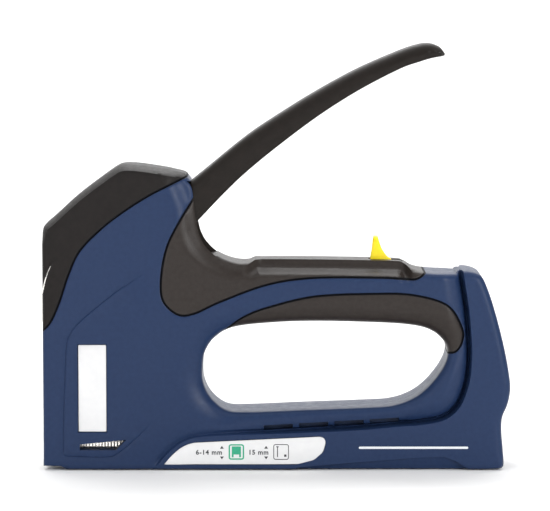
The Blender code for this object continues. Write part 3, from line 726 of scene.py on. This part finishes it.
class Surface:
    """A procedural material: base colour with fine variation, roughness variation and a bump."""

    def __init__(self, name, base, roughness, metallic=0.0):
        self.material = bpy.data.materials.new(name)
        self.material.use_nodes = True
        self.tree = self.material.node_tree
        self.shader = self.tree.nodes["Principled BSDF"]
        self.shader.inputs["Base Color"].default_value = (*base, 1.0)
        self.shader.inputs["Roughness"].default_value = roughness
        self.shader.inputs["Metallic"].default_value = metallic
        self.place = self.node("ShaderNodeTexCoord").outputs["Object"]
        self.base = base
        self.roughness = roughness

    def node(self, kind, **inputs):
        node = self.tree.nodes.new(kind)
        for key, value in inputs.items():
            node.inputs[key.replace("_", " ")].default_value = value
        return node

    def link(self, a, b):
        self.tree.links.new(a, b)

    def noise(self, size, detail=3.0, stretch=(1.0, 1.0, 1.0)):
        """Noise with features of about a size in millimetres."""
        mapping = self.node("ShaderNodeMapping")
        mapping.inputs["Scale"].default_value = [s / (size * MM) for s in stretch]
        self.link(self.place, mapping.inputs["Vector"])
        noise = self.node("ShaderNodeTexNoise", Scale=1.0, Detail=detail)
        self.link(mapping.outputs["Vector"], noise.inputs["Vector"])
        return noise.outputs["Fac"]

    def ramp(self, value, low, high):
        """Noise values, mostly from 0.3 to 0.7, spread from low to high."""
        ramp = self.node("ShaderNodeMapRange", From_Min=0.3, From_Max=0.7, To_Min=low, To_Max=high)
        self.link(value, ramp.inputs["Value"])
        return ramp.outputs["Result"]

    def vary_colour(self, other, size):
        """Blend the base colour with another in patches of about a size in millimetres."""
        mix = self.node("ShaderNodeMix")
        mix.data_type = "RGBA"
        mix.inputs["A"].default_value = (*self.base, 1.0)
        mix.inputs["B"].default_value = (*other, 1.0)
        self.link(self.ramp(self.noise(size), 0.0, 1.0), mix.inputs["Factor"])
        self.link(mix.outputs["Result"], self.shader.inputs["Base Color"])
        return self

    def vary_roughness(self, spread, size, *stretch):
        value = self.ramp(self.noise(size, 3.0, *stretch), self.roughness - spread, self.roughness + spread)
        self.link(value, self.shader.inputs["Roughness"])
        return self

    def bumps(self, *layers):
        """Layers of (size mm, height mm, detail) and perhaps the stretch along each axis."""
        normal = None
        for size, height, detail, *stretch in layers:
            bump = self.node("ShaderNodeBump", Strength=1.0, Distance=height * MM)
            self.link(self.noise(size, detail, *stretch), bump.inputs["Height"])
            if normal:
                self.link(normal, bump.inputs["Normal"])
            normal = bump.outputs["Normal"]
        self.link(normal, self.shader.inputs["Normal"])
        return self

    def set(self, **sockets):
        for key, value in sockets.items():
            self.shader.inputs[key.replace("_", " ")].default_value = value
        return self


def surface(name, base, other, patch, roughness, metallic=0.0, rough=None, bumps=(), **sockets):
    """A finished material from two 8-bit colours, the size of their patches and its other variation."""
    made = Surface(name, colour(*base), roughness, metallic)
    made.vary_colour(colour(*other), patch)
    if rough:
        made.vary_roughness(*rough)
    if bumps:
        made.bumps(*bumps)
    made.set(**sockets)
    return made.material


MATERIAL = {
    "body": surface("blue_paint", (34, 52, 85), (31, 48, 81), 1.6, 0.36, rough=(0.05, 2.5),
                    bumps=((0.55, 0.012, 2.0), (0.16, 0.004, 1.0)), Specular_IOR_Level=0.2),
    "cap": surface("cap_plastic", (30, 26, 25), (25, 22, 21), 2.2, 0.42, rough=(0.06, 1.5),
                   bumps=((0.32, 0.03, 3.0),), Specular_IOR_Level=0.17),
    # painted shade: a darker black than the cap and grips, for their faces along the parting lines' grooves
    "lip": surface("seam_shade_black", (19, 20, 25), (23, 24, 28), 0.8, 0.6, Specular_IOR_Level=0.1),
    "grip": surface("soft_grip", (46, 40, 37), (40, 34, 31), 1.8, 0.37, rough=(0.05, 1.2),
                    bumps=((0.42, 0.045, 3.0), (3.0, 0.05, 1.0)), Specular_IOR_Level=0.26),
    "handle": surface("handle_plastic", (31, 26, 23), (26, 22, 19), 2.4, 0.42, rough=(0.06, 1.4),
                      bumps=((0.36, 0.03, 3.0),), Specular_IOR_Level=0.17),
    "lock": surface("yellow_plastic", (255, 232, 2), (255, 224, 2), 1.5, 0.38,
                    bumps=((0.3, 0.012, 2.0),), Subsurface_Weight=0.08, Subsurface_Scale=0.001),
    "label": surface("label_film", (231, 231, 231), (227, 227, 228), 3.0, 0.3,
                     bumps=((1.4, 0.004, 1.0),), Coat_Weight=0.3, Coat_Roughness=0.12),
    "print_dark": surface("print_dark", (48, 50, 54), (58, 60, 64), 0.4, 0.4),
    "print_green": surface("print_green", (38, 160, 122), (44, 168, 130), 0.8, 0.4),
    "print_white": surface("print_white", (232, 235, 238), (224, 228, 232), 0.5, 0.45),
    "steel": surface("steel", (244, 241, 237), (230, 227, 223), 2.0, 0.3, 1.0,
                     rough=(0.07, 1.2, (0.15, 1.0, 0.15)), bumps=((0.25, 0.006, 3.0, (0.08, 1.0, 0.08)),)),
    "dark_steel": surface("dark_steel", (104, 103, 101), (88, 87, 86), 1.4, 0.36, 1.0,
                          rough=(0.06, 1.0), bumps=((0.3, 0.006, 3.0),)),
    "spring": surface("spring_steel", (156, 154, 150), (136, 134, 130), 1.0, 0.3, 1.0,
                      bumps=((0.2, 0.005, 2.0),)),
    "staples": surface("staple_wire", (250, 246, 241), (236, 232, 227), 0.8, 0.17, 1.0,
                       bumps=((0.3, 0.003, 1.0),)),
    "rubber": surface("rubber", (40, 40, 40), (34, 34, 34), 0.8, 0.78, bumps=((0.3, 0.02, 2.0),)),
}


def paint_seam_shade(obj):
    """Give the faces of a dark piece beside a parting line a darker black: painted shade along the seam's
    groove.
    """
    obj.data.materials.append(MATERIAL["lip"])
    centres = np.array([tuple(face.center) for face in obj.data.polygons]) / MM
    spots = centres[:, (0, 2)]
    near = np.minimum.reduce([seam.distance(spots)[0] for seam in SEAMS])
    for face, gap in zip(obj.data.polygons, near):
        face.material_index = 1 if gap < SEAM_SHADE_WIDTH else 0


def paint_crease_highlight(obj):
    """Steel material on the cap's faces along its short crease low on the front: a painted highlight, wide
    below and thin above.
    """
    # the cap is plastic; this steel only paints a highlight on it
    obj.data.materials.append(MATERIAL["steel"])
    centres = np.array([tuple(face.center) for face in obj.data.polygons]) / MM
    gap, _, index = NOSE_CREASE_AT.distance(centres[:, (0, 2)])
    half_width = 0.3 * (1.0 - index / len(NOSE_CREASE_AT.points)) ** 1.5 + 0.04
    outside = np.abs(centres[:, 1]) > CAVITY + 0.5
    for face, highlit in zip(obj.data.polygons, (gap < half_width) & outside):
        if highlit:
            face.material_index = 2


# ---------------------------------------------------------------- pieces

def build_body():
    whole = body_solid()
    left = half_shell(whole, -1, "body_left")
    piece(left, "shell_left", "frame", "body", "body_left")
    right = half_shell(whole, 1, "body_right")
    piece(right, "shell_right", "frame", "body", "body_right")

    cap = hollow(boolean(copy_of(whole), slab(cap_region(LAP), -THROUGH, THROUGH), "INTERSECT"))
    piece(cap, "nose_cap", "frame", "cap", "front_cap")
    # painted seam shade along the cap's parting line, and a painted highlight of steel on its nose crease
    paint_seam_shade(cap)
    paint_crease_highlight(cap)

    grip = boolean(copy_of(whole), slab(top_grip_region(LAP), -THROUGH, THROUGH), "INTERSECT")
    boolean(grip, mechanism_space())
    boolean(grip, block(31.0, 52.8, -6.2, 6.2, 60.0, 79.6))
    boolean(grip, block(37.0, 50.6, -1.9, 1.9, 70.0, 90.0))
    piece(grip, "saddle_grip", "frame", "grip", "top_grip")
    # painted seam shade along the grip's parting lines
    paint_seam_shade(grip)

    under = boolean(whole, slab(loop_grip_region(LAP), -THROUGH, THROUGH), "INTERSECT")
    piece(under, "finger_grip", "frame", "grip", "loop_grip")
    # painted seam shade along the grip's parting line
    paint_seam_shade(under)


def handle_line():
    tip = [HANDLE_TOP[-1], (66.4, 162.6), HANDLE_UNDER[0]]
    root = [HANDLE_UNDER[-1], HANDLE_TOP[0]]
    return chain([run(HANDLE_TOP, 4.6, 4.2), run(tip, 3.0, 2.4), run(HANDLE_UNDER, 1.6, 1.1),
                  run(root, 1.0, 0.8, straight=True)])


def build_handle():
    """The squeeze handle, hollow underneath, with a slot for its steel lever."""
    outline, sizes = handle_line()
    verts, triangles, loops = side_mesh(outline, [], [], 1.2)
    fall, _ = rounded_edge(Line(outline, True), sizes, verts)
    body = two_sided(verts, triangles, loops, HANDLE_HALF - fall)
    roof = [(-4.0, 131.8), (16.0, 145.2), (32.0, 154.5), (48.0, 161.5), (58.0, 163.8)]
    below = [(61.5, 158.0), (40.0, 140.0), (12.0, 120.0), (-4.0, 110.0)]
    boolean(body, slab(roof + below, -HANDLE_WALL, HANDLE_WALL))
    slot = [(-45.0, 98.5), (-28.0, 113.4), (-12.0, 126.6), (-3.0, 133.4), (-3.0, 100.0), (-45.0, 70.0)]
    boolean(body, slab(slot, -3.8, 3.8))
    piece(body, "squeeze_handle", "handle", "handle", "handle")


def build_lock():
    """The yellow catch: a fin with a T head on top and a slider inside the ridge."""
    front = spline([(37.5, 80.0), (37.7, 82.6), (38.3, 86.2), (38.7, 90.0)], 0.4)
    top = spline([(38.7, 90.0), (39.0, 90.8), (39.8, 91.0), (40.6, 90.8), (40.9, 90.0)], 0.3)
    back = spline([(40.9, 90.0), (41.4, 88.4), (42.5, 85.6), (44.3, 83.1), (46.0, 81.8), (46.2, 80.0)], 0.4)
    outline = [*np.vstack([front[:-1], top[:-1], back]), (46.2, 78.0), (37.4, 78.0)]
    blade = bevelled(slab(outline, -1.5, 1.5), 0.45)
    head = bevelled(block(38.85, 40.75, -4.0, 4.0, 89.6, 90.9), 0.3)
    slider = bevelled(block(34.0, 48.8, -3.6, 3.6, 76.3, 79.2), 0.4)
    catch = joined([blade, head, slider])
    piece(catch, "yellow_catch", "lock", "lock", "handle_lock", sharp=50.0)


def build_nose():
    plate = bevelled(block(-90.9, -89.7, -8.5, 8.5, 1.4, 72.0), 0.3)
    bump = slab([(-90.6, 56.5), (-92.0, 57.6), (-92.6, 59.2), (-92.7, 60.4), (-92.7, 67.8), (-92.5, 69.2),
                 (-91.9, 70.2), (-90.6, 71.0)], -6.0, 6.0)
    bevelled(bump, 0.4)
    plate = joined([plate, bump])
    piece(plate, "nose_steel", "frame", "steel", "nose_plate", sharp=50.0)


def build_screws():
    for number, (x, z) in enumerate(SCREWS, 1):
        head = revolve([(1.45, -9.0), (1.45, 12.0), (2.75, 12.0), (2.9, 12.2), (2.9, 13.2), (2.5, 13.75),
                        (1.6, 14.05), (0.5, 14.15)], (x, 0.0, z), "Y", 40)
        for turn in (0.5, 0.5 + math.pi / 2):
            arm = [(math.cos(turn) * a - math.sin(turn) * b, math.sin(turn) * a + math.cos(turn) * b)
                   for a, b in ((-1.5, -0.32), (1.5, -0.32), (1.5, 0.32), (-1.5, 0.32))]
            boolean(head, slab([(x + a, z + b) for a, b in arm], 13.1, 15.0))
        piece(head, "cross_screw_%d" % number, "frame", "dark_steel", "body_screw_%d" % number)


def outline_plate(outline, side, low, high):
    """A flat plate of an outline on one side, from low to high away from the middle."""
    return slab(outline, *sorted((side * low, side * high)))


def rounded_box(cx, cz, w, h, r, steps=5):
    """Outline of a box with rounded corners."""
    points = []
    for k, (sx, sz) in enumerate(((1, 1), (-1, 1), (-1, -1), (1, -1))):
        for s in range(steps + 1):
            a = math.pi / 2 * (k + s / steps)
            points.append((cx + sx * (w / 2 - r) + r * math.cos(a), cz + sz * (h / 2 - r) + r * math.sin(a)))
    return points


def ring_plate(cx, cz, w, h, r, line, side, low, high):
    """A thin frame around a rounded box."""
    outer = outline_plate(rounded_box(cx, cz, w, h, r), side, low, high)
    inner = slab(rounded_box(cx, cz, w - 2 * line, h - 2 * line, max(r - line, 0.1)), -THROUGH, THROUGH)
    return boolean(outer, inner)


def lettering(words, x, z, size, side, depth):
    """Plain figures as a thin mesh, reading left to right from outside."""
    text = bpy.data.curves.new("words", "FONT")
    text.body = words
    text.size = size * MM
    text.extrude = 0.02 * MM
    text.resolution_u = 3
    text.space_character = 1.12
    text.offset = 0.03 * size * MM
    obj = bpy.data.objects.new("words", text)
    bpy.context.scene.collection.objects.link(obj)
    graph = bpy.context.evaluated_depsgraph_get()
    mesh = bpy.data.meshes.new_from_object(obj.evaluated_get(graph))
    bpy.data.objects.remove(obj)
    facing = Matrix(((-side, 0, 0), (0, 0, side), (0, 1, 0))).to_4x4()
    mesh.transform(Matrix.Translation(Vector((x, side * depth, z)) * MM) @ facing)
    result = bpy.data.objects.new("words", mesh)
    bpy.context.scene.collection.objects.link(result)
    return result


def build_labels(side, word):
    """White size label with its print, a plain white badge and a pinstripe, on one side."""
    def mark(outline):
        return outline_plate(outline, side, HALF - 0.16, HALF - 0.06)

    def bar(x0, x1, z0, z1):
        return mark([(x0, z0), (x1, z0), (x1, z1), (x0, z1)])

    def box_line(x, line, corner):
        return ring_plate(x, 6.9, 6.1, 6.2, corner, line, side, HALF - 0.16, HALF - 0.06)

    x0, x1, z0, z1 = BADGE
    label = spline(LABEL_EDGE, 0.6, closed=True)[:-1]
    badge = rounded_box((x0 + x1) / 2, (z0 + z1) / 2, x1 - x0, z1 - z0, 0.35)
    for outline, name, node in ((label, "size_plate_", "size_label_"), (badge, "plain_badge_", "badge_")):
        plate = bevelled(outline_plate(outline, side, HALF - 0.5, HALF - 0.1), 0.1, 2)
        piece(plate, name + word, "frame", "label", node + word)

    figures = (("6-14 mm", -31.2 if side < 0 else -20.8), ("15 mm", -10.5 if side < 0 else -3.4))
    dark = [lettering(words, x, 5.9, 2.6, side, HALF - 0.08) for words, x in figures]
    for x in (-20.9, -3.5):
        for z, up in ((8.7, 1), (4.6, -1)):
            dark.append(mark([(x - 0.75, z - 0.5 * up), (x + 0.75, z - 0.5 * up), (x, z + 0.65 * up)]))
    staple = [(-17.0, 4.8), (-17.0, 9.1), (-13.4, 9.1), (-13.4, 4.8), (-14.1, 4.8), (-14.1, 5.9),
              (-16.3, 5.9), (-16.3, 4.8)]
    green = [box_line(-15.2, 0.55, 1.0), mark(staple)]
    dark.append(box_line(2.4, 0.3, 0.9))
    dark.append(bar(0.8, 1.15, 4.9, 8.8))
    dark.append(bar(0.5, 1.45, 8.8, 9.15))
    dark.append(bar(3.6, 4.5, 5.0, 5.9))
    piece(joined(dark), "label_print_" + word, "frame", "print_dark")
    piece(joined(green), "label_mark_" + word, "frame", "print_green")
    stripe = outline_plate(rounded_box(54.5, 8.6, 43.0, 0.9, 0.4), side, HALF - 0.1, HALF + 0.03)
    piece(stripe, "pinstripe_" + word, "frame", "print_white")


def coil_path(start, radius, wire, length, turns, axis, per_turn=28, flat=1.0):
    """Centre line of a spring of a wire radius, with flat turns at both ends."""
    total = turns + 2 * flat
    steps = int(total * per_turn)
    free = length - 2 * wire - 2 * flat * 2.1 * wire
    path = []
    for k in range(steps + 1):
        t = total * k / steps
        height = wire + 2.1 * wire * min(t, flat) + free * min(max(t - flat, 0.0), turns) / turns
        height += 2.1 * wire * max(t - flat - turns, 0.0)
        a = 2 * math.pi * t
        local = Vector((radius * math.cos(a), radius * math.sin(a), height))
        path.append(Vector(start) + AXIS_FRAMES[axis] @ local)
    return path


def build_springs():
    coil = tube(coil_path((-79.5, 0.0, 62.3), 5.1, 1.0, 30.7, 5.0, "Z"), 1.0, 12)
    piece(coil, "driving_spring", "frame", "spring", "main_spring", sharp=None)
    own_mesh(coil)

    push = tube(coil_path((-26.6, 0.0, 7.0), 1.95, 0.35, 100.5, 20.0, "X", 20), 0.35, 8)
    piece(push, "feed_spring", "magazine", "spring", "pusher_spring", sharp=None)
    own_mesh(push)

    turn = tube(coil_path((PIVOT[0], 4.0, PIVOT[1]), 3.5, 0.55, 6.4, 2.6, "Y", 28, 0.7), 0.55, 10)
    piece(turn, "return_spring", "frame", "spring", "handle_return_spring", sharp=60.0)


def build_staples():
    """A full strip: one bent wire after another, glued side by side."""
    count, pitch, width = 41, 1.243, 1.16
    section = [(-5.3, 1.6), (-5.3, 12.55), (-5.05, 12.9), (-4.7, 13.0), (4.7, 13.0), (5.05, 12.9),
               (5.3, 12.55), (5.3, 1.6), (4.8, 1.6), (4.8, 12.5), (-4.8, 12.5), (-4.8, 1.6)]
    n = len(section)
    faces = [(i, (i + 1) % n, (i + 1) % n + n, i + n) for i in range(n)]
    end = [(0, 1, 10, 11), (1, 2, 3, 10), (3, 4, 9, 10), (4, 5, 6, 9), (6, 7, 8, 9)]
    for start in (0, n):
        faces += [tuple(start + i for i in face) for face in end]
    made = []
    for k in range(count):
        x = -85.9 + pitch * k
        verts = [(at, y, z) for at in (x, x + width) for y, z in section]
        made.append(face_out(to_object(verts, faces)))
    strip = bevelled(joined(made), 0.14, 2, 50.0)
    piece(strip, "staple_row", "magazine", "staples", "staple_strip", sharp=40.0)


def build_magazine_end():
    """The pull at the tail, with three finger grooves on each side and the rod's hole."""
    end = [(74.3, 1.0), (88.9, 1.0), (89.6, 1.7), (89.9, 4.0), (89.4, 8.4), (88.9, 11.6), (88.2, 12.4),
           (74.3, 12.4)]
    grip = bevelled(slab(end, -6.4, 6.4), 0.5)
    for z in (4.2, 6.4, 8.6):
        for side in (1, -1):
            boolean(grip, block(77.0, 87.0, *sorted((side * 5.9, side * 8.0)), z, z + 0.9))
    boolean(grip, block(84.6, 87.0, -4.5, 4.5, 0.0, 3.0))
    boolean(grip, revolve([(1.3, -2.0), (1.3, 4.0)], (74.3, 0.0, 7.0), "X", 24))
    piece(grip, "magazine_pull", "magazine", "cap", "magazine_end")


def finish_cad():
    """The CAD nodes that stay get the material of their slot."""
    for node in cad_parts.values():
        if node.hide_render:
            continue
        slot = node.data.materials[0].name.split(".")[0] if node.data.materials else "steel"
        node.data.materials.clear()
        node.data.materials.append(MATERIAL.get(slot, MATERIAL["steel"]))


# ---------------------------------------------------------------- camera, light and floor

CAMERA_ELEVATION = math.radians(5.5)
CAMERA_DISTANCE = 1.15
CAMERA_AIM = 0.0832      # height that the camera looks at
PICTURE_WIDTH = 0.2178   # width of the view at the tool's middle plane
FLOOR_LEVEL = -0.0005
FLOOR_REACH = 4.0
FLOOR_BEND = 1.2         # where the floor starts to sweep up behind the tool
SWEEP = 0.6              # radius of the sweep
BACKDROP_TOP = 2.0


def look_at(obj, target):
    direction = Vector(target) - obj.location
    obj.rotation_mode = "QUATERNION"
    obj.rotation_quaternion = direction.to_track_quat("-Z", "Y")


def build_camera():
    """A side view from a little above the tool's middle."""
    data = bpy.data.cameras.new("camera")
    camera = bpy.data.objects.new("camera", data)
    bpy.context.scene.collection.objects.link(camera)
    target = Vector((0.0, 0.0, CAMERA_AIM))
    away = Vector((0.0, -math.cos(CAMERA_ELEVATION), math.sin(CAMERA_ELEVATION)))
    camera.location = target + away * CAMERA_DISTANCE
    look_at(camera, target)
    data.sensor_width = 36.0
    data.lens = data.sensor_width * CAMERA_DISTANCE / PICTURE_WIDTH
    data.clip_start = 0.05
    data.clip_end = 20.0
    bpy.context.scene.camera = camera


def area_light(name, place, target, size, power, spread=180.0):
    data = bpy.data.lights.new(name, "AREA")
    data.shape = "RECTANGLE"
    data.size, data.size_y = size
    data.energy = power
    data.spread = math.radians(spread)
    light = bpy.data.objects.new(name, data)
    bpy.context.scene.collection.objects.link(light)
    light.location = place
    look_at(light, target)


def build_studio():
    """Soft lights, pale surroundings and a pale floor that sweeps up behind the tool."""
    world = bpy.data.worlds.new("studio")
    world.use_nodes = True
    background = world.node_tree.nodes["Background"]
    background.inputs["Color"].default_value = (1.0, 1.0, 1.0, 1.0)
    background.inputs["Strength"].default_value = 0.45
    bpy.context.scene.world = world
    bpy.context.scene.view_settings.view_transform = "Standard"
    area_light("top", (0.0, 0.1, 1.1), (0.0, 0.05, 0.05), (1.6, 1.6), 8.6)
    area_light("key", (0.58, -0.76, 0.33), (0.04, 0.0, 0.06), (0.42, 0.42), 4.3)
    area_light("second", (-0.55, -0.9, 0.5), (-0.06, 0.0, 0.06), (0.4, 0.4), 1.3)
    area_light("back", (0.1, 0.95, 0.85), (0.0, 0.0, 0.1), (0.5, 0.25), 1.3)
    area_light("rim", (-0.9, 0.05, 0.3), (0.0, 0.0, 0.06), (0.3, 0.5), 1.6)
    area_light("fill", (-0.3, -1.2, 0.09), (-0.06, 0.0, 0.03), (0.3, 0.2), 0.6)
    area_light("backdrop", (0.0, 0.9, 1.7), (0.0, 1.6, 0.3), (2.4, 0.6), 24.0)
    area_light("near_floor", (0.0, -1.9, 1.7), (0.0, -1.9, 0.0), (4.6, 1.8), 32.0, 60.0)

    profile = [(-FLOOR_REACH, FLOOR_LEVEL), (FLOOR_BEND, FLOOR_LEVEL)]
    for k in range(1, 13):
        a = math.pi / 2 * k / 12
        profile.append((FLOOR_BEND + SWEEP * math.sin(a), FLOOR_LEVEL + SWEEP * (1 - math.cos(a))))
    profile.append((FLOOR_BEND + SWEEP, BACKDROP_TOP))
    verts = [(x, y, z) for x in (-FLOOR_REACH, FLOOR_REACH) for y, z in profile]
    count = len(profile)
    faces = [(i, i + 1, i + 1 + count, i + count) for i in range(count - 1)]
    floor = to_object(np.array(verts) / MM, faces, "floor")
    floor.data.shade_smooth()
    pale = Surface("floor_paper", (0.93, 0.93, 0.93), 0.9)
    pale.vary_colour((0.92, 0.92, 0.92), 40.0)
    floor.data.materials.append(pale.material)


build_camera()
build_studio()
build_body()
build_handle()
build_lock()
build_nose()
build_screws()
build_labels(-1, "left")
build_labels(1, "right")
build_springs()
build_staples()
build_magazine_end()
finish_cad()
